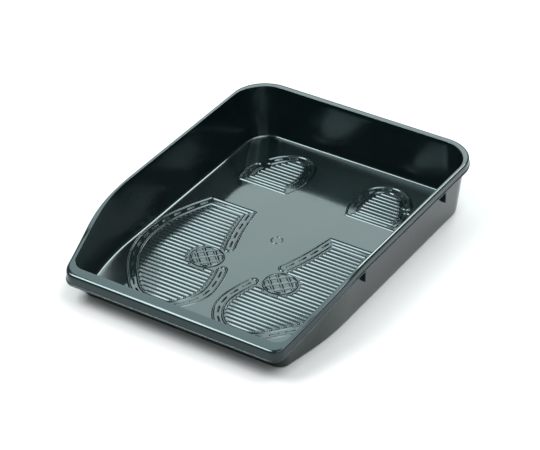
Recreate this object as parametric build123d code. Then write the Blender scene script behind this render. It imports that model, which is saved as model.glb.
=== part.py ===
from build123d import *
import os
from math import cos, radians, sin, tan

# Shoe tray for a car or an entrance: one moulded tray with a low front lip and a raised
# pair of shoe-sole treads on its floor, standing on four rubber grip pads.
# Millimetres. +Z is up, +Y points to the back, and the low lip faces -Y.
# The origin is the centre of the rim's plan, on the surface that the tray stands on.

# Rim
rim_width = 270.0            # outside, across the high sides
rim_depth = 360.0            # outside, from the front lip to the back
rim_height = 62.5            # top of the high rim
lip_height = 32.4            # top of the front lip's outer edge
flange_thickness = 2.0
skirt_thickness = 1.6
side_flange = 4.6            # from the rim's inner edge to its outer edge, at the sides
back_flange = 8.2
lip_flange = 11.5
lip_edge_height = 36.4       # top of the front wall, where the sloping lip begins

# Plan shape of the front half: the sides bend inwards on a large arc, then run straight
taper_start = -70.0          # y where the sides start to bend in
taper_radius = 280.0
rim_taper = 10.9             # degrees, final slope of the sides
wall_top_taper = 6.6         # the wall leans out more near the low front corners
front_corner_radius = 13.0
rim_back_radius = 38.0

# Base, walls and floor
base_width = 248.0
base_front = -161.2
base_back = 172.4
base_back_radius = 30.0
wall_thickness = 2.0
base_level = 0.8             # underside of the tray above the surface, held up by the pads
floor_level = 2.9            # top of the floor
floor_fillet = 3.5           # round between the floor and the walls, inside
foot_fillet = 1.6            # round of the base's lower edge
side_depth = 200.0           # how far the side-view cutting blocks reach down
above_rim = 4.0              # how far the walls' building block reaches above the rim

# Stacking lugs: thin fins under the flange, two on each side
lug_places = (-50.0, 105.0)  # y of each pair
lug_thickness = 2.0
lug_bottom = 40.0
lug_start = 127.0            # x where a lug begins, inside the wall's thickness

# Raised tread on the floor
tread_height = 0.9
tread_sunk = 0.3             # how far the tread's solids run down into the floor
line_width = 1.5             # the welt's outlines
curve_step = 8.0             # between the points that an inner outline is drawn through
welt_width = 9.2             # between the outer and the inner outline
rib_width = 2.4
rib_pitch = 5.425
rib_clearance = 1.6          # between the ribs' ends and the inner outline
first_fore_rib = -128.7
first_heel_rib = 97.0
fore_rib_count = 29
heel_rib_count = 8
disc_x = 41.9
disc_y = -51.4
disc_radius = 17.8           # outer edge of the round pad's ring
disc_clearance = 2.2
diamond_pitch = 9.2
diamond_gap = 1.8            # between the diamonds, and between them and the ring
diamond_gap_count = 3        # each way, the middle one through the pad's centre
arch_gap = (17.8, -47.6)     # middle of the break in the welt beside the round pad
arch_gap_size = (34.0, 32.0)
arch_gap_turn = 22.0
gate_ring_radius = 6.0
gate_ring_y = 8.8
gate_ring_width = 1.2
gate_ring_height = 0.4
heel_gap = (82.5, 122.5)     # middle of the break in the heel's welt
heel_gap_size = (24.0, 13.0)
heel_gap_turn = 25.0

# Grip pads
pad_radius = 9.0
pad_recess = 1.1             # a pad is pressed into a recess of its own size
pad_x = 92.0
pad_front_y = -128.0
pad_back_y = 138.0
pad_edge_fillet = 0.4

# Side view of the rim's top and of the skirt's lower edge, from the back to the front
rim_profile = [
    (-45.0, rim_height),
    (-70.0, 61.3),
    (-90.0, 58.5),
    (-110.0, 54.2),
    (-125.0, 49.7),
    (-140.0, 44.4),
    (-155.0, 39.6),
    (-168.0, 35.8),
    (-rim_depth / 2, lip_height),
]
skirt_profile = [
    (-45.0, 53.5),
    (-70.0, 52.2),
    (-90.0, 48.9),
    (-110.0, 43.9),
    (-125.0, 38.9),
    (-140.0, 33.4),
    (-155.0, 28.2),
    (-168.0, 24.2),
    (-rim_depth / 2, 21.0),
]

# Forefoot outline of the right tread, from the inner waist corner round the toe to the
# outer waist corner, on the welt's outer line
fore_points = [
    (43.0, 38.4),
    (37.2, 8.0),
    (29.5, -19.0),
    (17.5, -49.0),
    (7.6, -80.0),
    (5.2, -100.0),
    (11.5, -122.0),
    (25.0, -137.5),
    (47.0, -143.0),
    (70.0, -136.0),
    (89.5, -116.5),
    (109.7, -85.0),
    (118.0, -52.5),
    (117.0, -21.0),
    (105.4, 16.0),
    (94.8, 38.4),
]
# Heel outline of the right tread, from its inner front corner round the back
heel_points = [
    (34.8, 83.2),
    (29.0, 100.0),
    (29.0, 122.0),
    (35.5, 141.0),
    (54.0, 150.2),
    (72.0, 143.5),
    (84.5, 128.0),
    (93.0, 107.0),
    (91.5, 83.2),
]


def plan_outline(half_width, front, back, taper, back_radius):
    """Closed plan outline: straight back, large back corners, sides that bend inwards."""
    angle = radians(taper)
    bend_x = half_width - taper_radius * (1 - cos(angle))
    bend_y = taper_start - taper_radius * sin(angle)
    front_x = bend_x - (bend_y - front) * tan(angle)
    middle = angle / 2
    mid_x = half_width - taper_radius * (1 - cos(middle))
    mid_y = taper_start - taper_radius * sin(middle)
    with BuildSketch() as sketch:
        with BuildLine():
            Line((-half_width, taper_start), (-half_width, back))
            Line((-half_width, back), (half_width, back))
            Line((half_width, back), (half_width, taper_start))
            ThreePointArc((half_width, taper_start), (mid_x, mid_y), (bend_x, bend_y))
            Line((bend_x, bend_y), (front_x, front))
            Line((front_x, front), (-front_x, front))
            Line((-front_x, front), (-bend_x, bend_y))
            ThreePointArc((-bend_x, bend_y), (-mid_x, mid_y), (-half_width, taper_start))
        make_face()
        back_corners = sketch.vertices().filter_by(lambda v: v.Y > back - 1)
        fillet(back_corners, back_radius)
        front_corners = sketch.vertices().filter_by(lambda v: v.Y < front + 1)
        fillet(front_corners, front_corner_radius)
    return sketch.sketch


def raised(sketch, level):
    """The same sketch moved up to a level."""
    return Pos(0, 0, level) * sketch


def wall_outline(level, inset):
    """Plan outline of the walls at a level, inset from the walls' outer face."""
    share = (level - base_level) / (rim_height - base_level)
    top_half = rim_width / 2 - side_flange + wall_thickness
    half_width = base_width / 2 + share * (top_half - base_width / 2) - inset
    lip_share = (lip_edge_height - base_level) / (rim_height - base_level)
    lean = (rim_depth / 2 - lip_flange + wall_thickness + base_front) / lip_share
    front = base_front - share * lean + inset
    top_back = rim_depth / 2 - back_flange + wall_thickness
    back = base_back + share * (top_back - base_back) - inset
    taper = rim_taper + share * (wall_top_taper - rim_taper)
    back_radius = base_back_radius + share * (rim_back_radius - base_back_radius) - inset
    return plan_outline(half_width, front, back, taper, back_radius)


def side_slab(profile, depth):
    """Everything within the rim's width between a side-view line and the line below it."""
    back = rim_depth / 2 + 1
    front = -rim_depth / 2 - 1
    first = profile[0]
    last = profile[-1]
    with BuildSketch(Plane.YZ) as sketch:
        with BuildLine():
            Line((back, first[1]), first)
            Spline(profile, tangents=[(-1, 0), (-1, -0.28)])
            Line(last, (front, last[1]))
            Line((front, last[1]), (front, last[1] - depth))
            Line((front, last[1] - depth), (back, last[1] - depth))
            Line((back, last[1] - depth), (back, first[1]))
        make_face()
    return extrude(sketch.sketch, amount=rim_width / 2 + 1, both=True)


def lowered(profile, drop):
    """A side-view line moved down by a fixed distance."""
    return [(y, z - drop) for y, z in profile]


def rim_outline(inset):
    """Plan outline of the rim's outer edge."""
    half_width = rim_width / 2 - inset
    front = -rim_depth / 2 + inset
    back = rim_depth / 2 - inset
    return plan_outline(half_width, front, back, rim_taper, rim_back_radius - inset)


def leaning_block(low, inset, edge_fillet):
    """Solid between the walls' outlines from a level to well above the rim."""
    high = rim_height + above_rim
    bottom = raised(wall_outline(low, inset), low)
    top = raised(wall_outline(high, inset), high)
    block = loft([bottom, top], ruled=True)
    return fillet(block.edges().group_by(Axis.Z)[0], edge_fillet)


def make_shell(cavity):
    """Walls, floor, flange and skirt as one moulding, without the tread."""
    under_rim = side_slab(rim_profile, side_depth)
    outside = leaning_block(base_level, 0, foot_fillet)
    walls = (outside & under_rim) - cavity
    full_rim = extrude(raised(rim_outline(0), base_level), amount=rim_height)
    flange_space = under_rim - side_slab(lowered(rim_profile, flange_thickness), side_depth)
    flange = (full_rim & flange_space) - cavity
    skirt_core = extrude(raised(rim_outline(skirt_thickness), base_level), amount=rim_height)
    skirt_space = under_rim - side_slab(skirt_profile, side_depth)
    skirt = (full_rim - skirt_core) & skirt_space
    return walls + flange + skirt


def make_lug(side, y, cavity):
    """A thin fin across the gap under the flange, from the wall to the skirt's face."""
    outer = rim_width / 2
    top = rim_height - flange_thickness / 2
    centre = (side * (lug_start + outer) / 2, y, (lug_bottom + top) / 2)
    fin = Pos(*centre) * Box(outer - lug_start, lug_thickness, top - lug_bottom)
    return fin - cavity


def closed_outline(points):
    """Face inside a smooth line through the points, closed by a straight front or back edge."""
    with BuildSketch() as sketch:
        with BuildLine():
            Spline(points)
            Line(points[-1], points[0])
        make_face()
    return sketch.sketch


def moved_in(face, distance):
    """The face within a distance of its edge taken away, its curves drawn as plain splines."""
    smaller = offset(face, -distance, kind=Kind.INTERSECTION)
    with BuildSketch() as sketch:
        with BuildLine():
            for edge in smaller.edges():
                if edge.geom_type == GeomType.LINE:
                    Line(edge @ 0, edge @ 1)
                else:
                    steps = max(2, round(edge.length / curve_step))
                    points = [edge @ (step / steps) for step in range(steps + 1)]
                    Spline(points, tangents=[edge % 0, edge % 1])
        make_face()
    return sketch.sketch


def band(face, start, width):
    """Strip of a face between two distances in from its edge."""
    outer = moved_in(face, start) if start > 0 else face
    return outer - moved_in(face, start + width)


def ribs_inside(face, first, count):
    """Evenly spaced bars across the tray, cut to a face."""
    with BuildSketch() as sketch:
        for index in range(count):
            with Locations((rim_width / 4, first + index * rib_pitch)):
                Rectangle(rim_width / 2, rib_width)
    return sketch.sketch & face


def diamond_disc():
    """Round pad of the tread: a ring round small diamonds with narrow gaps between them."""
    with BuildSketch() as diamonds:
        with Locations((disc_x, disc_y)):
            Circle(disc_radius - line_width - diamond_gap)
        for turn in (45, -45):
            with Locations(Location((disc_x, disc_y, 0), (0, 0, turn))):
                with GridLocations(diamond_pitch, 1, diamond_gap_count, 1):
                    Rectangle(diamond_gap, 2 * disc_radius, mode=Mode.SUBTRACT)
    with BuildSketch() as disc:
        with Locations((disc_x, disc_y)):
            Circle(disc_radius)
    return band(disc.sketch, 0, line_width) + diamonds.sketch


def forefoot_tread():
    """Welt outlines, ribs and round pad of the right forefoot."""
    sole = closed_outline(fore_points)
    with BuildSketch() as pad_gap:
        with Locations((disc_x, disc_y)):
            Circle(disc_radius + disc_clearance)
        with Locations(arch_gap):
            Rectangle(*arch_gap_size, rotation=arch_gap_turn)
    welt = band(sole, 0, line_width) + band(sole, welt_width, line_width)
    inner_sole = moved_in(sole, welt_width + line_width + rib_clearance)
    ribs = ribs_inside(inner_sole, first_fore_rib, fore_rib_count)
    return (welt + ribs) - pad_gap.sketch + diamond_disc()


def heel_tread():
    """Welt outlines and ribs of the right heel."""
    heel = closed_outline(heel_points)
    with BuildSketch() as back_gap:
        with Locations(heel_gap):
            Rectangle(*heel_gap_size, rotation=heel_gap_turn)
    welt = band(heel, 0, line_width) + band(heel, welt_width, line_width)
    inner_heel = moved_in(heel, welt_width + line_width + rib_clearance)
    ribs = ribs_inside(inner_heel, first_heel_rib, heel_rib_count)
    return (welt - back_gap.sketch) + ribs


def make_tread():
    """Solids of both treads and of the moulding gate's ring, standing in the floor."""
    low = floor_level - tread_sunk
    solids = []
    for face in (forefoot_tread() + heel_tread()).faces():
        ridge = extrude(raised(face, low), amount=tread_height + tread_sunk)
        solids.extend(ridge.solids())
        solids.extend(mirror(ridge, about=Plane.YZ).solids())
    with BuildSketch() as gate:
        with Locations((0, gate_ring_y)):
            Circle(gate_ring_radius)
            Circle(gate_ring_radius - gate_ring_width, mode=Mode.SUBTRACT)
    ring = extrude(raised(gate.sketch, low), amount=tread_sunk + gate_ring_height)
    solids.extend(ring.solids())
    return solids


def make_tray():
    """The whole moulding, with recesses under its floor for the grip pads."""
    cavity = leaning_block(floor_level, wall_thickness, floor_fillet)
    details = make_tread()
    for side in (-1, 1):
        for y in lug_places:
            details.extend(make_lug(side, y, cavity).solids())
    tray = make_shell(cavity).fuse(*details)
    depth = base_level + pad_recess
    for centre in pad_centres().values():
        tray = tray - Pos(*centre, depth / 2) * Cylinder(pad_radius, depth)
    return tray


def pad_centres():
    """Where each grip pad sits, seen from above."""
    return {
        "grip_pad_front_left": (-pad_x, pad_front_y),
        "grip_pad_front_right": (pad_x, pad_front_y),
        "grip_pad_rear_left": (-pad_x, pad_back_y),
        "grip_pad_rear_right": (pad_x, pad_back_y),
    }


def make_pad(centre):
    """Flat rubber disc with a rounded lower edge."""
    thickness = base_level + pad_recess
    pad = Pos(*centre, thickness / 2) * Cylinder(pad_radius, thickness)
    return fillet(pad.edges().group_by(Axis.Z)[0], pad_edge_fillet)


os.makedirs("parts", exist_ok=True)
export_step(make_tray(), "parts/tray_body.step")
for name, centre in pad_centres().items():
    export_step(make_pad(centre), "parts/" + name + ".step")
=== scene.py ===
from math import cos, pi, radians, sin, sqrt, tan

import bpy
import numpy as np
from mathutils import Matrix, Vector


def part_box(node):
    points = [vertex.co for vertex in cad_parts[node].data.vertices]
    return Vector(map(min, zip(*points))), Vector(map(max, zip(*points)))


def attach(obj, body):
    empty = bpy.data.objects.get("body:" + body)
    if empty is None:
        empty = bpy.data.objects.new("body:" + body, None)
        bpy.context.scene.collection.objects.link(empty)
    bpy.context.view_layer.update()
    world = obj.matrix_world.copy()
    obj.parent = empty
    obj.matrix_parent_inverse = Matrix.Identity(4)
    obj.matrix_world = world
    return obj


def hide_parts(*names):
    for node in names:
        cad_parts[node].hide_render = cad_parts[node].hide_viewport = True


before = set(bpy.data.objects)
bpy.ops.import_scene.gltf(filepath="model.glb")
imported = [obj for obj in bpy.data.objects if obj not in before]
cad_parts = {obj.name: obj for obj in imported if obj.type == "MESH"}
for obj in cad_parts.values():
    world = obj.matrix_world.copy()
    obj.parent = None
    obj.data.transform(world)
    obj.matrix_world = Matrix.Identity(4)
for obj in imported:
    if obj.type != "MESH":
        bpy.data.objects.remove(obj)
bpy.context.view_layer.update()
mm = 0.001   # metres in a millimetre


# Puts points (millimetres) and faces into a new object that rides on the tray.
def makePiece(name, points, faces, material, slotName, smoothAngle=42):
    mesh = bpy.data.meshes.new(name)
    mesh.from_pydata((np.asarray(points) * mm).tolist(), [], faces)
    mesh.validate()
    mesh.materials.append(material)
    mesh.shade_smooth()
    mesh.set_sharp_from_angle(angle=radians(smoothAngle))
    piece = bpy.data.objects.new(name, mesh)
    bpy.context.scene.collection.objects.link(piece)
    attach(piece, "root")
    return piece


# Quads between neighbouring rings of a (rings, stations) grid, wrapped round the stations,
# and wrapped over the rings too where the surface closes on itself.
def gridFaces(ringCount, stationCount, wrapRings=False):
    ring = np.arange(ringCount if wrapRings else ringCount - 1)
    station = np.arange(stationCount)
    r, s = np.meshgrid(ring, station, indexing="ij")
    nextRing = (r + 1) % ringCount
    nextStation = (s + 1) % stationCount
    quads = np.stack([r * stationCount + s, r * stationCount + nextStation,
                      nextRing * stationCount + nextStation, nextRing * stationCount + s], -1)
    return quads.reshape(-1, 4).tolist()


# Several closed shells joined into one list of points and one list of faces.
def joinShells(shells):
    points, faces, start = [], [], 0
    for shellPoints, shellFaces in shells:
        points.append(shellPoints)
        faces += [[corner + start for corner in face] for face in shellFaces]
        start += len(shellPoints)
    return np.concatenate(points), faces


# Cubic Hermite curve through (y, z) points, level past both ends of the list.
def smoothLine(table, y):
    known = np.array(sorted(table), float)
    slope = np.gradient(known[:, 1], known[:, 0])
    slope[-1] = 0
    y = np.clip(y, known[0, 0], known[-1, 0])
    i = np.clip(np.searchsorted(known[:, 0], y) - 1, 0, len(known) - 2)
    gap = known[i + 1, 0] - known[i, 0]
    t = (y - known[i, 0]) / gap
    return ((2 * t**3 - 3 * t**2 + 1) * known[i, 1] + (t**3 - 2 * t**2 + t) * gap * slope[i]
            + (3 * t**2 - 2 * t**3) * known[i + 1, 1] + (t**3 - t**2) * gap * slope[i + 1])


plasticLook = {
    "deepColour": (0.0007, 0.0021, 0.0023, 1),   # the black-green of the moulding
    "paleColour": (0.0018, 0.0040, 0.0044, 1),   # where it is a little cloudy
    "cloudSize": 14, "cloudFrom": 0.35, "cloudTo": 0.7,
    "sheen": (0.74, 0.97, 1.0, 1), "ior": 1.5,
    "hazeSize": 38, "hazeFrom": 0.3, "hazeTo": 0.75,
    "roughLow": 0.045, "roughHigh": 0.1,
    "satinExtra": 0.13,     # added on the walls, which have a duller finish
    "peelSize": 620,        # ripples per metre of the moulded skin
    "peelDepth": 0.000012,  # metres
    "scratchStretch": (60, 900, 200), "scratchTurn": 0.5,
    "scratchFrom": 0.62, "scratchTo": 0.72, "scratchDepth": 0.000006,
}


# Adds one node with its settings; a key that the node lacks sets the socket of that name.
def addNode(tree, kind, place, **settings):
    node = tree.nodes.new(kind)
    node.location = place
    for key, value in settings.items():
        if hasattr(node, key):
            setattr(node, key, value)
        else:
            node.inputs[key].default_value = value
    return node


# Colour between low and high by a factor socket.
def mixColours(tree, place, factor, low, high):
    mix = addNode(tree, "ShaderNodeMix", place, data_type="RGBA")
    tree.links.new(factor, mix.inputs["Factor"])
    mix.inputs[6].default_value = low
    mix.inputs[7].default_value = high
    return mix.outputs[2]


# A noise's reading between two levels, stretched to a new range.
def addRange(tree, place, source, fromMin, fromMax, toMin=0.0, toMax=1.0):
    spread = addNode(tree, "ShaderNodeMapRange", place)
    spread.inputs["From Min"].default_value = fromMin
    spread.inputs["From Max"].default_value = fromMax
    spread.inputs["To Min"].default_value = toMin
    spread.inputs["To Max"].default_value = toMax
    tree.links.new(source, spread.inputs["Value"])
    return spread.outputs["Result"]


def makePlastic(name, look):
    material = bpy.data.materials.new(name)
    material.use_nodes = True
    tree = material.node_tree
    link = tree.links.new
    shader = tree.nodes["Principled BSDF"]
    shader.inputs["IOR"].default_value = look["ior"]
    shader.inputs["Specular Tint"].default_value = look["sheen"]
    place = addNode(tree, "ShaderNodeTexCoord", (-1400, 0)).outputs["Object"]

    cloud = addNode(tree, "ShaderNodeTexNoise", (-1100, 300), Scale=look["cloudSize"], Detail=4,
                    Roughness=0.6)
    link(place, cloud.inputs["Vector"])
    cloudShare = addRange(tree, (-900, 300), cloud.outputs["Fac"], look["cloudFrom"], look["cloudTo"])
    link(mixColours(tree, (-650, 350), cloudShare, look["deepColour"], look["paleColour"]),
         shader.inputs["Base Color"])

    # handling haze: patches of two or three centimetres, broken up by finer ones
    haze = addNode(tree, "ShaderNodeTexNoise", (-1100, 0), Scale=look["hazeSize"], Detail=6,
                   Roughness=0.65)
    link(place, haze.inputs["Vector"])
    roughness = addRange(tree, (-900, 0), haze.outputs["Fac"], look["hazeFrom"], look["hazeTo"],
                         look["roughLow"], look["roughHigh"])
    satin = addNode(tree, "ShaderNodeAttribute", (-900, 150), attribute_name="satin")
    satinShare = addNode(tree, "ShaderNodeMath", (-700, 150), operation="MULTIPLY_ADD")
    satinShare.inputs[1].default_value = look["satinExtra"]
    link(satin.outputs["Fac"], satinShare.inputs[0])
    link(roughness, satinShare.inputs[2])
    link(satinShare.outputs["Value"], shader.inputs["Roughness"])

    # moulded skin: a fine ripple, and hairline scratches that all run one way
    peel = addNode(tree, "ShaderNodeTexNoise", (-1100, -300), Scale=look["peelSize"], Detail=2)
    link(place, peel.inputs["Vector"])
    stretch = addNode(tree, "ShaderNodeMapping", (-1250, -600))
    stretch.inputs["Scale"].default_value = look["scratchStretch"]
    stretch.inputs["Rotation"].default_value = (0, 0, look["scratchTurn"])
    link(place, stretch.inputs["Vector"])
    scratch = addNode(tree, "ShaderNodeTexNoise", (-1050, -600), Scale=1, Detail=3)
    link(stretch.outputs["Vector"], scratch.inputs["Vector"])
    scratchShare = addRange(tree, (-850, -600), scratch.outputs["Fac"], look["scratchFrom"],
                            look["scratchTo"])
    peelBump = addNode(tree, "ShaderNodeBump", (-600, -300), Strength=1.0,
                       Distance=look["peelDepth"])
    link(peel.outputs["Fac"], peelBump.inputs["Height"])
    scratchBump = addNode(tree, "ShaderNodeBump", (-350, -400), Strength=1.0,
                          Distance=look["scratchDepth"])
    scratchBump.invert = True
    link(scratchShare, scratchBump.inputs["Height"])
    link(peelBump.outputs["Normal"], scratchBump.inputs["Normal"])
    link(scratchBump.outputs["Normal"], shader.inputs["Normal"])
    return material


rubberLook = {
    "deepColour": (0.010, 0.010, 0.011, 1),
    "dustColour": (0.035, 0.034, 0.032, 1),
    "dustSize": 260, "ior": 1.45,
    "roughLow": 0.6, "roughHigh": 0.85,
    "grainSize": 1400, "grainDepth": 0.00003,
}


def makeRubber(name, look):
    material = bpy.data.materials.new(name)
    material.use_nodes = True
    tree = material.node_tree
    link = tree.links.new
    shader = tree.nodes["Principled BSDF"]
    shader.inputs["IOR"].default_value = look["ior"]
    place = addNode(tree, "ShaderNodeTexCoord", (-1100, 0)).outputs["Object"]
    dust = addNode(tree, "ShaderNodeTexNoise", (-900, 200), Scale=look["dustSize"], Detail=5,
                   Roughness=0.7)
    link(place, dust.inputs["Vector"])
    link(mixColours(tree, (-600, 250), dust.outputs["Fac"], look["deepColour"], look["dustColour"]),
         shader.inputs["Base Color"])
    link(addRange(tree, (-650, 0), dust.outputs["Fac"], 0, 1, look["roughLow"], look["roughHigh"]),
         shader.inputs["Roughness"])
    grain = addNode(tree, "ShaderNodeTexNoise", (-900, -200), Scale=look["grainSize"], Detail=2)
    link(place, grain.inputs["Vector"])
    bump = addNode(tree, "ShaderNodeBump", (-500, -200), Strength=0.8, Distance=look["grainDepth"])
    link(grain.outputs["Fac"], bump.inputs["Height"])
    link(bump.outputs["Normal"], shader.inputs["Normal"])
    return material


trayPlastic = makePlastic("tray plastic", plasticLook)
padRubber = makeRubber("pad rubber", rubberLook)
print("materials ready")


shell = {
    "rimHalf": 135.0, "rimFront": -180.0, "rimBack": 180.0, "rimTaper": 10.9, "rimCorner": 38.0,
    "baseHalf": 124.0, "baseFront": -161.2, "baseBack": 172.4, "baseCorner": 30.0,
    "topHalf": 132.4, "topFront": -177.3, "topBack": 173.8, "topTaper": 6.6,
    "frontCorner": 13.0,
    "bendStart": -70.0, "bendRadius": 280.0,     # where the sides turn in, and how gently
    "wall": 2.0, "flange": 2.0, "skirt": 1.6,    # thicknesses
    "underside": 0.8, "floor": 2.9, "height": 62.5,
    "warp": 0.14, "warpAcross": 12.0, "warpAlong": 34.0, "warpPhase": 0.6,   # floor's slow waves
    "flatShare": 0.9,                            # flat floor inside this share of its outline
    "innermost": 0.02, "innerRings": 40, "underInnermost": 0.05, "underRings": 8,
    "floorRound": 3.4, "innerRound": 0.9, "outerRound": 3.0, "hemRound": 0.5, "footRound": 1.6,
    "bandRound": 0.3, "flangeInnerRound": 0.5, "flangeOuterRound": 0.8,
    "satinAboveFloor": 2.0, "satinBelowRim": 1.5, "satinFade": 3.0,
    "faceInset": 0.7, "hemBand": 1.5,            # the hem stands out from the skirt as a thin band
    "rimLine": [(-45, 62.5), (-70, 61.3), (-90, 58.5), (-110, 54.2), (-125, 49.7), (-140, 44.4),
                (-155, 39.6), (-168, 35.8), (-180, 32.4)],
    "hemLine": [(-45, 53.5), (-70, 52.2), (-90, 48.9), (-110, 43.9), (-125, 38.9), (-140, 33.4),
                (-155, 28.2), (-168, 24.2), (-180, 21.0)],
    "stations": {"back": 26, "backCorner": 26, "side": 60, "bend": 22, "taper": 34,
                 "frontCorner": 18, "front": 32},
}


# Right half of a plan outline from the middle of the back round to the middle of the front:
# line, quarter circle, line, gentle arc, sloping line, corner arc, line; then its mirror image.
def planOutline(half, front, back, taper, backCorner, frontCorner):
    n = shell["stations"]
    lean = radians(taper)
    bend = shell["bendRadius"]
    start = shell["bendStart"]
    bendX = half - bend * (1 - cos(lean))
    bendY = start - bend * sin(lean)
    cornerX = bendX - (bendY - front) * tan(lean)
    reach = frontCorner / tan((pi / 2 + lean) / 2)

    def along(a, b, count):
        t = np.linspace(0, 1, count, endpoint=False)[:, None]
        return np.array(a) * (1 - t) + np.array(b) * t

    def arc(cx, cy, radius, fromAngle, toAngle, count):
        angle = np.linspace(fromAngle, toAngle, count, endpoint=False)
        return np.stack([cx + radius * np.cos(angle), cy + radius * np.sin(angle)], 1)

    right = np.concatenate([
        along((0, back), (half - backCorner, back), n["back"]),
        arc(half - backCorner, back - backCorner, backCorner, pi / 2, 0, n["backCorner"]),
        along((half, back - backCorner), (half, start), n["side"]),
        arc(half - bend, start, bend, 0, -lean, n["bend"]),
        along((bendX, bendY), (cornerX + reach * sin(lean), front + reach * cos(lean)), n["taper"]),
        arc(cornerX - reach, front + frontCorner, frontCorner, -lean, -pi / 2, n["frontCorner"]),
        along((cornerX - reach, front), (0, front), n["front"]),
        [(0, front)],
    ])
    left = right[-2:0:-1] * [-1, 1]
    return np.concatenate([right, left])


# Wall outline at a height for each station: straight blend from the foot's outline to the
# rim's, both moved in by the inset.
def wallAt(level, inset):
    s = shell
    foot = planOutline(s["baseHalf"] - inset, s["baseFront"] + inset, s["baseBack"] - inset,
                       s["rimTaper"], s["baseCorner"] - inset, s["frontCorner"])
    top = planOutline(s["topHalf"] - inset, s["topFront"] + inset, s["topBack"] - inset,
                      s["topTaper"], s["rimCorner"] - inset, s["frontCorner"])
    share = (np.asarray(level, float) - s["underside"]) / (s["height"] - s["underside"])
    share = np.broadcast_to(share, (len(foot),))[:, None]
    return foot + share * (top - foot)


# Where the leaning wall meets the rim's side-view line less a drop, found by repetition from
# a first guess.
def wallTop(inset, drop, firstGuess=50.0, repeats=12):
    level = np.full(len(wallAt(0, inset)), firstGuess)
    for _ in range(repeats):
        plan = wallAt(level, inset)
        level = smoothLine(shell["rimLine"], plan[:, 1]) - drop
    return np.column_stack([plan, level])


# The rim's outline seen from above, moved in by the inset.
def rimPlan(inset):
    s = shell
    return planOutline(s["rimHalf"] - inset, s["rimFront"] + inset, s["rimBack"] - inset,
                       s["rimTaper"], s["rimCorner"] - inset, s["frontCorner"] - inset)


# A line through corner points with each corner cut back and bridged by a parabola,
# (1-t)^2 A + 2t(1-t) C + t^2 B, for every station at once.
def roundedSection(corners, cuts, spans, steps=6):
    rows = [corners[0]]
    for i in range(1, len(corners) - 1):
        before, here, after = corners[i - 1], corners[i], corners[i + 1]
        toBefore = before - here
        toAfter = after - here
        a = here + toBefore / np.linalg.norm(toBefore, axis=1, keepdims=True) * cuts[i]
        b = here + toAfter / np.linalg.norm(toAfter, axis=1, keepdims=True) * cuts[i]
        last = rows[-1]
        for t in np.linspace(0, 1, spans[i] + 1)[1:-1]:
            rows.append(last * (1 - t) + a * t)
        for t in np.linspace(0, 1, steps + 1):
            rows.append(a * (1 - t)**2 + 2 * t * (1 - t) * here + b * t**2)
    rows.append(corners[-1])
    return np.array(rows)


# A flat outline lifted to one height, or to a height for each station.
def lifted(plan, z):
    return np.column_stack([plan, np.broadcast_to(z, (len(plan),))])


# The tray as rings of stations: floor rings outwards, wall, rim, skirt, wall again, underside.
# Floor height = floor + warp * sin(x / across + phase) * cos(y / along), fading to the edge.
def makeShell():
    s = shell
    rim = rimPlan(0)
    rimInner = rimPlan(s["skirt"])
    rimZ = smoothLine(s["rimLine"], rim[:, 1])
    hemZ = smoothLine(s["hemLine"], rim[:, 1])
    floorEdge = wallAt(s["floor"], s["wall"])
    footEdge = wallAt(s["underside"], 0)
    corners = [
        lifted(floorEdge * s["flatShare"], s["floor"]),
        lifted(floorEdge, s["floor"]),
        wallTop(s["wall"], 0),
        lifted(rimPlan(s["faceInset"]), rimZ),
        lifted(rimPlan(s["faceInset"]), hemZ + s["hemBand"]),
        lifted(rim, hemZ + s["hemBand"]),
        lifted(rim, hemZ),
        lifted(rimInner, hemZ),
        lifted(rimInner, smoothLine(s["rimLine"], rimInner[:, 1]) - s["flange"]),
        wallTop(0, s["flange"]),
        lifted(footEdge, s["underside"]),
        lifted(footEdge * s["flatShare"], s["underside"]),
    ]
    cuts = [0, s["floorRound"], s["innerRound"], s["outerRound"], s["bandRound"],
            s["bandRound"], s["hemRound"], s["hemRound"], s["flangeInnerRound"],
            s["flangeOuterRound"], s["footRound"], 0]
    spans = [0, 3, 7, 3, 3, 1, 1, 1, 3, 2, 6, 2]
    section = roundedSection(corners, cuts, spans)
    shrink = np.linspace(s["innermost"], 1, s["innerRings"], endpoint=False)[:, None, None]
    inner = np.concatenate([section[:1, :, :2]] * s["innerRings"]) * shrink
    warp = (s["warp"] * np.sin(inner[:, :, 0] / s["warpAcross"] + s["warpPhase"])
            * np.cos(inner[:, :, 1] / s["warpAlong"]))
    floorRings = np.dstack([inner, s["floor"] + warp * (1 - shrink[:, :, 0]**2)])
    underShrink = np.linspace(1, s["underInnermost"], s["underRings"] + 1)[1:, None, None]
    under = np.concatenate([section[-1:, :, :2]] * s["underRings"]) * underShrink
    underRings = np.concatenate([under, np.full(under.shape[:2] + (1,), s["underside"])], 2)
    rings = np.concatenate([floorRings, section, underRings])
    ringCount, stationCount = rings.shape[:2]
    faces = gridFaces(ringCount, stationCount)
    points = rings.reshape(-1, 3)
    points = np.concatenate([points, [[0, 0, s["floor"]], [0, 0, s["underside"]]]])
    top, bottom = len(points) - 2, len(points) - 1
    lastRing = (ringCount - 1) * stationCount
    faces += [[top, (i + 1) % stationCount, i] for i in range(stationCount)]
    faces += [[bottom, lastRing + i, lastRing + (i + 1) % stationCount] for i in range(stationCount)]
    piece = makePiece("trayShell", points, faces, trayPlastic, "tray_plastic", 60)
    # duller finish: 1 on the walls, 0 on the floor, underneath and along the rim
    edge = smoothLine(s["rimLine"], points[:, 1])
    low = np.clip((points[:, 2] - s["floor"] - s["satinAboveFloor"]) / s["satinFade"], 0, 1)
    high = np.clip((edge - points[:, 2] - s["satinBelowRim"]) / s["satinFade"], 0, 1)
    satin = piece.data.attributes.new("satin", "FLOAT", "POINT")
    satin.data.foreach_set("value", (low * high).astype(np.float32))
    return piece


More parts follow.
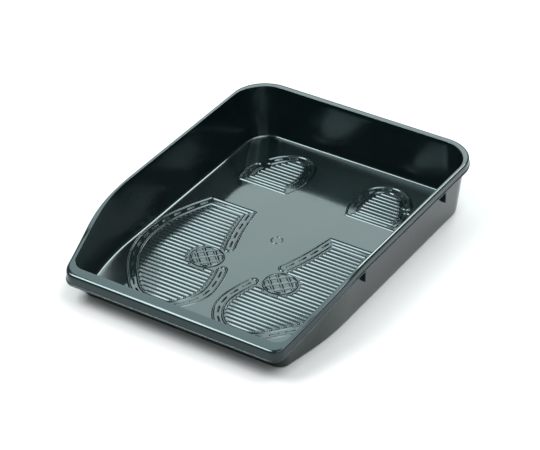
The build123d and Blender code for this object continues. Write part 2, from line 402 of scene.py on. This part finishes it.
trayShell = makeShell()
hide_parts("tray_body")
print("shell:", len(trayShell.data.polygons), "faces")


tread = {
    "height": 0.95,         # how far ridges stand up from the floor
    "sunk": 0.3,            # how far their feet reach into it
    "lineWidth": 2.4, "lineHeight": 0.95,
    "lineSpread": 2.2, "lineLean": 0.6,   # extra width and lean where a line runs across
    "ribWidth": 5.2,
    "ribLean": 0.3,         # the crest sits a little towards the front lip
    "ribPitch": 5.425,
    "firstForeRib": -128.7, "foreRibs": 29,
    "firstHeelRib": 97.0, "heelRibs": 8,
    "ribGap": 2.3,          # rib ends to the welt's inner line
    "shortestRib": 3.0,
    "weltWidth": 9.2, "pathStep": 1.2, "edgeStep": 1.5, "edgeWidth": 4.576,
    "stitchLength": 10.0, "stitchPitch": 16.0, "stitchWidth": 2.2,
    "endInsets": (0, 0.12, 0.4, 0.85),    # rings of a stitch's end, in proportion on other bars
    "endSizes": (0.25, 0.6, 0.88, 1.0),   # and how large the section is at each
    "stitchStart": 2.5, "stitchEnd": 6.0, "stitchClear": 1.0,
    "disc": (41.9, -51.4), "discRadius": 16.9, "ringWidth": 2.0, "discGap": 2.3,
    "padPitch": 9.2, "padGap": 1.1, "padSlope": 1.9,
    "padMargin": 0.2, "ringMargin": 0.1, "padLift": 0.02, "padCore": 0.15,
    "fore": [(43.0, 38.4), (37.2, 8.0), (29.5, -19.0), (17.5, -49.0), (7.6, -80.0), (5.2, -100.0),
             (11.5, -122.0), (25.0, -137.5), (47.0, -143.0), (70.0, -136.0), (89.5, -116.5),
             (109.7, -85.0), (118.0, -52.5), (117.0, -21.0), (105.4, 16.0), (94.8, 38.4)],
    "heel": [(34.8, 83.2), (29.0, 100.0), (29.0, 122.0), (35.5, 141.0), (54.0, 150.2),
             (72.0, 143.5), (84.5, 128.0), (93.0, 107.0), (91.5, 83.2)],
}
floorZ = shell["floor"]


# Smooth open path through points, evenly spaced: Hermite pieces over the chord length.
def smoothPath(table, step, fineStep=0.5):
    known = np.array(table, float)
    chord = np.concatenate([[0], np.cumsum(np.linalg.norm(np.diff(known, axis=0), axis=1))])
    slope = np.gradient(known, chord, axis=0)
    u = np.linspace(0, chord[-1], int(chord[-1] / fineStep))
    i = np.clip(np.searchsorted(chord, u) - 1, 0, len(known) - 2)
    gap = (chord[i + 1] - chord[i])[:, None]
    t = (u - chord[i])[:, None] / gap
    path = ((2 * t**3 - 3 * t**2 + 1) * known[i] + (t**3 - 2 * t**2 + t) * gap * slope[i]
            + (3 * t**2 - 2 * t**3) * known[i + 1] + (t**3 - t**2) * gap * slope[i + 1])
    return evenPath(path, step)


# The same path with its points a step apart, by its running length.
def evenPath(path, step):
    run = np.concatenate([[0], np.cumsum(np.linalg.norm(np.diff(path, axis=0), axis=1))])
    u = np.linspace(0, run[-1], max(3, int(run[-1] / step)))
    return np.column_stack([np.interp(u, run, path[:, 0]), np.interp(u, run, path[:, 1])])


# Path moved sideways to its left by a distance, along its own normals.
def movedLeft(path, distance):
    way = np.gradient(path, axis=0)
    way /= np.linalg.norm(way, axis=1, keepdims=True)
    return path + distance * np.stack([-way[:, 1], way[:, 0]], 1)


# Cross-section of a ridge: one hump of a cosine on the floor, with a foot sunk into it.
# Lean moves the crest off the middle and leaves the feet where they are.
def ridgeSection(width, height, steps=13, lean=0.0):
    angle = np.linspace(-pi, pi, steps)
    place = -angle / pi + lean * np.cos(angle / 2)**2
    across = np.concatenate([[width / 2], place * width / 2, [-width / 2]])
    up = np.concatenate([[-tread["sunk"]], (1 + np.cos(angle)) / 2 * height, [-tread["sunk"]]])
    return across, up


# A ridge carried along a flat path; a closed one joins its ends, an open one gets end faces.
# It is broader, with its crest nearer the front, where it runs across the tray:
# width + spread * wayX^2, and crest moved by lean * wayX^2 * height share.
def ridgeAlong(path, width, height, closed, spread=0.0, lean=0.0):
    if closed:
        way = np.roll(path, -1, 0) - np.roll(path, 1, 0)
    else:
        way = np.gradient(path, axis=0)
    way /= np.linalg.norm(way, axis=1, keepdims=True)
    side = np.stack([way[:, 1], -way[:, 0]], 1)
    across, up = ridgeSection(1.0, height)
    level = way[:, :1]**2
    flat = path[:, None, :] + (side * (width + spread * level))[:, None, :] * across[None, :, None]
    flat[:, :, 1] -= lean * level * np.clip(up, 0, None)[None, :] / height
    points = np.concatenate([flat, np.broadcast_to(up[None, :, None] + floorZ,
                                                   flat.shape[:2] + (1,))], 2)
    count, stations = points.shape[:2]
    faces = gridFaces(count, stations, wrapRings=closed)
    if not closed:
        faces.append(list(range(stations)))
        faces.append([(count - 1) * stations + i for i in reversed(range(stations))])
    return points.reshape(-1, 3), faces


# Straight bars from starts to ends, all at once: the ridge section, narrower and lower
# over the first and last 0.39 of its width so that the ends are rounded.
def bars(starts, ends, width, height, lean=0.0):
    starts, ends = np.asarray(starts, float), np.asarray(ends, float)
    length = np.linalg.norm(ends - starts, axis=1, keepdims=True)
    way = (ends - starts) / length
    side = np.stack([way[:, 1], -way[:, 0]], 1)
    inset = np.array(tread["endInsets"]) * width / tread["stitchWidth"]
    size = np.array(tread["endSizes"])
    reach = np.concatenate([np.broadcast_to(inset, (len(starts), 4)), length - inset[::-1]], 1)
    size = np.concatenate([size, size[::-1]])
    across, up = ridgeSection(width, height, 11, lean)
    flat = (starts[:, None, None, :] + way[:, None, None, :] * reach[:, :, None, None]
            + side[:, None, None, :] * across[None, None, :, None] * size[None, :, None, None])
    z = np.where(up > 0, up, 0)[None, :] * size[:, None] + np.minimum(up, 0)[None, :] + floorZ
    z = np.broadcast_to(z[None, :, :, None], flat.shape[:3] + (1,))
    points = np.concatenate([flat, z], 3)
    shells = []
    for bar in points:
        rings, stations = bar.shape[:2]
        faces = gridFaces(rings, stations)
        faces.append(list(range(stations)))
        faces.append([(rings - 1) * stations + i for i in reversed(range(stations))])
        shells.append((bar.reshape(-1, 3), faces))
    return shells


# Half circle that joins two path ends, bulging the way the path was going.
def roundEnd(a, b, way, count=10):
    middle = (a + b) / 2
    radius = np.linalg.norm(a - b) / 2
    angle = np.linspace(0, pi, count)[1:-1]
    out = (a - b) / 2 / radius
    return middle + radius * (np.cos(angle)[:, None] * out + np.sin(angle)[:, None] * way)


# Three lines of a welt, at its outside, middle and inside, each in four parts: from the break
# back to the straight edge, that edge's two corners, and from there to the break's other end.
def weltLoop(outline, breakStart, breakEnd, edgeY, inward):
    width = tread["weltWidth"]
    path = smoothPath(outline, tread["pathStep"])
    first = np.argmin(np.linalg.norm(path - breakStart, axis=1))
    second = np.argmin(np.linalg.norm(path - breakEnd, axis=1))
    lines = []
    for distance in (0, width / 2, width):
        moved = movedLeft(path, distance)
        edge = edgeY + inward * distance
        keep = (moved[:, 1] - edge) * inward > 0
        moved = np.where(keep[:, None], moved, np.nan)
        partA = moved[:first + 1][::-1]
        partB = moved[second:][::-1]
        partA = partA[~np.isnan(partA[:, 0])]
        partB = partB[~np.isnan(partB[:, 0])]
        cornerA = np.array([[partA[-1, 0] + (partA[-1, 0] - partA[-2, 0]) * 0.5, edge]])
        cornerB = np.array([[partB[0, 0] - (partB[1, 0] - partB[0, 0]) * 0.5, edge]])
        lines.append((partA, cornerA, cornerB, partB))
    return lines


# The four parts of a line in order, with points added along the straight edge.
def wholeLine(parts):
    sideA, cornerA, cornerB, sideB = parts
    edge = evenPath(np.concatenate([cornerA, cornerB]), tread["edgeStep"])[1:-1]
    return np.concatenate([sideA, cornerA, edge, cornerB, sideB])


# A closed line round the strip, and inside it a bar along the straight edge and stitches
# along both sides.
def weltShells(outline, breakStart, breakEnd, edgeY, inward):
    outer, middle, inner = weltLoop(outline, breakStart, breakEnd, edgeY, inward)
    outerLine = wholeLine(outer)
    innerLine = wholeLine(inner)
    startWay = outerLine[0] - outerLine[3]
    endWay = outerLine[-1] - outerLine[-4]
    startWay /= np.linalg.norm(startWay)
    endWay /= np.linalg.norm(endWay)
    loop = np.concatenate([outerLine, roundEnd(outerLine[-1], innerLine[-1], endWay),
                           innerLine[::-1], roundEnd(innerLine[0], outerLine[0], startWay)])
    shells = [ridgeAlong(loop, tread["lineWidth"], tread["lineHeight"], True,
                         tread["lineSpread"], tread["lineLean"])]
    shells += bars(middle[1], middle[2], tread["edgeWidth"], tread["lineHeight"],
                   tread["ribLean"] * np.sign(middle[2][0, 0] - middle[1][0, 0]))
    for part in (middle[0], middle[3][::-1]):
        run = np.concatenate([[0], np.cumsum(np.linalg.norm(np.diff(part, axis=0), axis=1))])
        begin = np.arange(tread["stitchStart"], run[-1] - tread["stitchEnd"], tread["stitchPitch"])
        end = np.minimum(begin + tread["stitchLength"], run[-1] - tread["stitchClear"])
        starts = np.column_stack([np.interp(begin, run, part[:, 0]), np.interp(begin, run, part[:, 1])])
        ends = np.column_stack([np.interp(end, run, part[:, 0]), np.interp(end, run, part[:, 1])])
        shells += bars(starts, ends, tread["stitchWidth"], tread["lineHeight"])
    return shells, innerLine


# Ribs across the sole, cut to the inner line less a gap and kept clear of the round pad.
def ribShells(innerLine, firstY, count, clearDisc):
    starts, ends = [], []
    closedLine = np.concatenate([innerLine, innerLine[:1]])
    for y in firstY + np.arange(count) * tread["ribPitch"]:
        above = closedLine[:, 1] > y
        cross = np.nonzero(above[:-1] != above[1:])[0]
        if len(cross) < 2:
            continue
        a, b = closedLine[cross], closedLine[cross + 1]
        xs = np.sort(a[:, 0] + (b[:, 0] - a[:, 0]) * (y - a[:, 1]) / (b[:, 1] - a[:, 1]))
        left, right = xs[0] + tread["ribGap"], xs[-1] - tread["ribGap"]
        cx, cy = tread["disc"]
        reach = tread["discRadius"] + tread["discGap"]
        pieces = [(left, right)]
        if clearDisc and abs(y - cy) < reach:
            half = sqrt(reach**2 - (y - cy)**2)
            pieces = [(left, cx - half), (cx + half, right)]
        for start, end in pieces:
            if end - start > tread["shortestRib"]:
                starts.append((start, y))
                ends.append((end, y))
    return bars(starts, ends, tread["ribWidth"], tread["height"], tread["ribLean"])


# Round pad as a height over (angle, radius), the larger of two: pillows between two sets of
# channels at 45 degrees, height * sin of the distance to the nearest channel over the slope's
# width, and a ring of one cosine hump.
def discShell():
    cx, cy = tread["disc"]
    ringRadius = tread["discRadius"]
    half = tread["ringWidth"] / 2
    outer = ringRadius + half + tread["ringMargin"]
    radius = np.linspace(tread["padCore"], outer, 58)
    angle = np.linspace(0, -2 * pi, 216, endpoint=False)
    r, a = np.meshgrid(radius, angle, indexing="ij")
    x, y = r * np.cos(a), r * np.sin(a)
    pitch, gap = tread["padPitch"], tread["padGap"]

    def fromChannel(d):
        return np.abs((d / pitch + 0.5) % 1 - 0.5) * pitch - gap / 2   # 0 at a channel's edge

    nearest = np.minimum(fromChannel((x + y) / sqrt(2)), fromChannel((x - y) / sqrt(2)))
    nearest = np.minimum(nearest, ringRadius - half - tread["padMargin"] - r)
    t = np.clip(nearest / tread["padSlope"], 0, 1)
    pillow = tread["height"] * np.sin(t * pi / 2)
    across = np.clip((r - ringRadius) / half, -1, 1)
    ring = tread["height"] * (1 + np.cos(pi * across)) / 2
    z = floorZ + tread["padLift"] + np.maximum(pillow, ring)
    z[-1] = floorZ - tread["sunk"]
    bottomZ = floorZ - tread["sunk"] * 2
    rings = np.stack([cx + x, cy + y, z], -1)
    bottom = np.stack([cx + x[-1:], cy + y[-1:], np.full_like(x[-1:], bottomZ)], -1)
    rings = np.concatenate([rings, bottom])
    count, stations = rings.shape[:2]
    points = np.concatenate([rings.reshape(-1, 3), [[cx, cy, z[0].mean()],
                                                    [cx, cy, bottomZ]]])
    faces = gridFaces(count, stations)
    top, low, lastRing = len(points) - 2, len(points) - 1, (count - 1) * stations
    faces += [[top, (i + 1) % stations, i] for i in range(stations)]
    faces += [[low, lastRing + i, lastRing + (i + 1) % stations] for i in range(stations)]
    return points, faces


# The other foot: the same points mirrored in x, with each face's corners turned round.
def mirrored(points, faces):
    return points * [-1, 1, 1], [face[::-1] for face in faces]


foreWelt, foreInner = weltShells(tread["fore"], (33.5, -29.0), (14.0, -61.0), 38.4, -1)
heelWelt, heelInner = weltShells(tread["heel"][::-1], (91.5, 114.5), (83.0, 130.0), 83.2, 1)
print("tread paths ready")
parts = {
    "Welt": joinShells(foreWelt + heelWelt),
    "Ribs": joinShells(ribShells(foreInner, tread["firstForeRib"], tread["foreRibs"], True)
                       + ribShells(heelInner, tread["firstHeelRib"], tread["heelRibs"], False)),
    "RoundPad": discShell(),
}
for label, (points, faces) in parts.items():
    makePiece("rightSole" + label, points, faces, trayPlastic, "tray_plastic")
    makePiece("leftSole" + label, *mirrored(points, faces), trayPlastic, "tray_plastic")
print("tread ready")


details = {
    "gateCentre": (0.5, 8.8), "gateRadius": 5.6, "gateWidth": 1.8, "gateHeight": 0.6,
    "lugPlaces": (-50.0, 105.0), "lugThickness": 2.0, "lugBottom": 40.0, "lugBelowRim": 5.0,
    "lugIntoWall": 0.8, "lugSetback": 0.2, "lugSoftness": 0.35,
}

angle = np.linspace(0, 2 * pi, 64, endpoint=False)
gatePath = np.array(details["gateCentre"]) + details["gateRadius"] * np.stack(
    [np.cos(angle), np.sin(angle)], 1)
gatePoints, gateFaces = ridgeAlong(gatePath, details["gateWidth"], details["gateHeight"], True)
makePiece("gateRing", gatePoints, gateFaces, trayPlastic, "tray_plastic")


# A fin from the wall out to the skirt's face, its outline carried through its thickness with
# softened edges: four rings of the same outline, the first and last a little smaller.
def lugShell(side, y):
    d = details
    top = shell["height"] - d["lugBelowRim"]
    foot = wallAt(d["lugBottom"], 0)[:, 0].max() - d["lugIntoWall"]
    head = wallAt(top, 0)[:, 0].max() - d["lugIntoWall"]
    outer = shell["rimHalf"] - shell["faceInset"] - d["lugSetback"]
    outline = np.array([(foot, d["lugBottom"]), (outer, d["lugBottom"]), (outer, top), (head, top)])
    middle = outline.mean(0)
    half = d["lugThickness"] / 2
    soft = d["lugSoftness"]
    rings = []
    for depth, shrink in ((-half, soft), (-half + soft, 0), (half - soft, 0), (half, soft)):
        offset = np.sign(middle - outline) * shrink
        ring = outline + offset
        rings.append(np.column_stack([side * ring[:, 0], np.full(4, y + depth), ring[:, 1]]))
    faces = gridFaces(4, 4)
    faces.append([0, 1, 2, 3])
    faces.append([15, 14, 13, 12])
    if side > 0:
        faces = [face[::-1] for face in faces]
    return np.concatenate(rings), faces


for side, word in ((1, "right"), (-1, "left")):
    lugs = [lugShell(side, y) for y in details["lugPlaces"]]
    points, faces = joinShells(lugs)
    makePiece(word + "StackingLugs", points, faces, trayPlastic, "tray_plastic", 20)

padShape = {
    "radius": 9.0, "rings": 3, "groove": 0.35,
    "edge": [(0.985, 0.03), (1.0, 0.25), (1.0, 0.6), (1.0, 1.0)],   # shares of radius and height
    "turns": 56,
}


# A pad turned about its own axis: (radius, height) profile with shallow rings in its sole.
def padShell(node):
    low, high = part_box(node)
    centre = (np.array(low) + np.array(high)) / 2 / mm
    top = high[2] / mm
    t = np.linspace(0, 1, 40)
    radius = padShape["radius"] * t
    sole = padShape["groove"] * 0.5 * (1 - np.cos(2 * pi * padShape["rings"] * t)) * (t < 0.999)
    edge = np.array(padShape["edge"])
    profileR = np.concatenate([radius[1:-2], edge[:, 0] * padShape["radius"],
                               [padShape["radius"] * 0.5]])
    profileZ = np.concatenate([sole[1:-2], edge[:, 1] * top, [top]])
    turn = np.linspace(0, 2 * pi, padShape["turns"], endpoint=False)
    ring = np.stack([np.cos(turn), np.sin(turn)], 1)
    heights = np.broadcast_to(profileZ[:, None, None], (len(profileR), padShape["turns"], 1))
    rings = np.concatenate([centre[:2] + profileR[:, None, None] * ring[None], heights], 2)
    count, stations = rings.shape[:2]
    points = np.concatenate([rings.reshape(-1, 3), [[centre[0], centre[1], 0.0],
                                                    [centre[0], centre[1], top]]])
    faces = gridFaces(count, stations)
    solePoint, topPoint, lastRing = len(points) - 2, len(points) - 1, (count - 1) * stations
    faces += [[solePoint, (i + 1) % stations, i] for i in range(stations)]
    faces += [[topPoint, lastRing + i, lastRing + (i + 1) % stations] for i in range(stations)]
    return points, faces


for node in ("grip_pad_front_left", "grip_pad_front_right", "grip_pad_rear_left",
             "grip_pad_rear_right"):
    points, faces = padShell(node)
    words = node.split("_")
    pad = makePiece("gripPad" + words[2].title() + words[3].title(), points, faces, padRubber,
                    "pad_rubber")
    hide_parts(node)
print("details ready")


studio = {
    "floorColour": (0.35, 0.355, 0.355, 1),
    "floorReach": 4.0, "worldColour": (0.86, 1.0, 1.0, 1), "worldStrength": 0.5,
    "backBox": {"way": (-0.345, 0.493, 0.799), "distance": 2.0, "size": (1.8, 1.96),
                "radiance": 3.6, "colour": (0.91, 1.0, 1.0)},
    "edgeBox": {"way": (-0.05, 0.70, 0.70), "distance": 2.0, "size": (0.5, 0.6),
                "radiance": 17.0, "colour": (1.0, 1.0, 1.0)},
    "frontBox": {"way": (-0.436, -0.38, 0.81), "distance": 1.6, "size": (0.9, 0.66),
                 "radiance": 20.0, "colour": (1.0, 1.0, 1.0)},
    "topBox": {"way": (0.42, 0.08, 0.90), "distance": 1.6, "size": (1.3, 1.1),
               "radiance": 9.5, "colour": (1.0, 1.0, 1.0)},
    "fillBox": {"way": (0.62, -0.50, 0.60), "distance": 2.2, "size": (1.6, 1.6),
                "radiance": 2.2, "colour": (1.0, 1.0, 1.0)},
}

floorMesh = bpy.data.meshes.new("studioFloor")
reach = studio["floorReach"]
floorMesh.from_pydata([(-reach, -reach, 0), (reach, -reach, 0), (reach, reach, 0),
                       (-reach, reach, 0)], [], [(0, 1, 2, 3)])
studioFloor = bpy.data.objects.new("studioFloor", floorMesh)
bpy.context.scene.collection.objects.link(studioFloor)
floorMaterial = bpy.data.materials.new("pale floor")
floorMaterial.use_nodes = True
floorShader = floorMaterial.node_tree.nodes["Principled BSDF"]
floorShader.inputs["Base Color"].default_value = studio["floorColour"]
floorShader.inputs["Roughness"].default_value = 0.9
floorShader.inputs["Specular IOR Level"].default_value = 0.0
floorMesh.materials.append(floorMaterial)

world = bpy.data.worlds.new("studioWorld")
bpy.context.scene.world = world
world.use_nodes = True
background = world.node_tree.nodes["Background"]
background.inputs["Color"].default_value = studio["worldColour"]
background.inputs["Strength"].default_value = studio["worldStrength"]


# An area light in a direction from the tray, turned to face it; power = radiance * pi * area.
def softBox(name, box):
    light = bpy.data.lights.new(name, "AREA")
    light.shape = "RECTANGLE"
    light.size, light.size_y = box["size"]
    light.energy = box["radiance"] * pi * box["size"][0] * box["size"][1]
    light.color = box["colour"]
    lamp = bpy.data.objects.new(name, light)
    way = Vector(box["way"]).normalized()
    lamp.location = way * box["distance"]
    lamp.rotation_euler = way.to_track_quat("Z", "Y").to_euler()
    bpy.context.scene.collection.objects.link(lamp)


for boxName in ("backBox", "edgeBox", "frontBox", "topBox", "fillBox"):
    softBox(boxName, studio[boxName])

view = {"azimuth": 32.09, "elevation": 34.90, "distance": 2.1799, "lens": 148.83,
        "shift": (-0.00328, 0.04063)}
azimuth, elevation = radians(view["azimuth"]), radians(view["elevation"])
eye = Vector((sin(azimuth) * cos(elevation), -cos(azimuth) * cos(elevation), sin(elevation)))
cameraData = bpy.data.cameras.new("mainView")
cameraData.lens = view["lens"]
cameraData.sensor_width = 36
cameraData.shift_x, cameraData.shift_y = view["shift"]
cameraData.clip_end = 50
camera = bpy.data.objects.new("mainView", cameraData)
camera.location = eye * view["distance"]
camera.rotation_euler = eye.to_track_quat("Z", "Y").to_euler()
bpy.context.scene.collection.objects.link(camera)
bpy.context.scene.camera = camera
bpy.context.scene.view_settings.view_transform = "Standard"

print("studio ready")
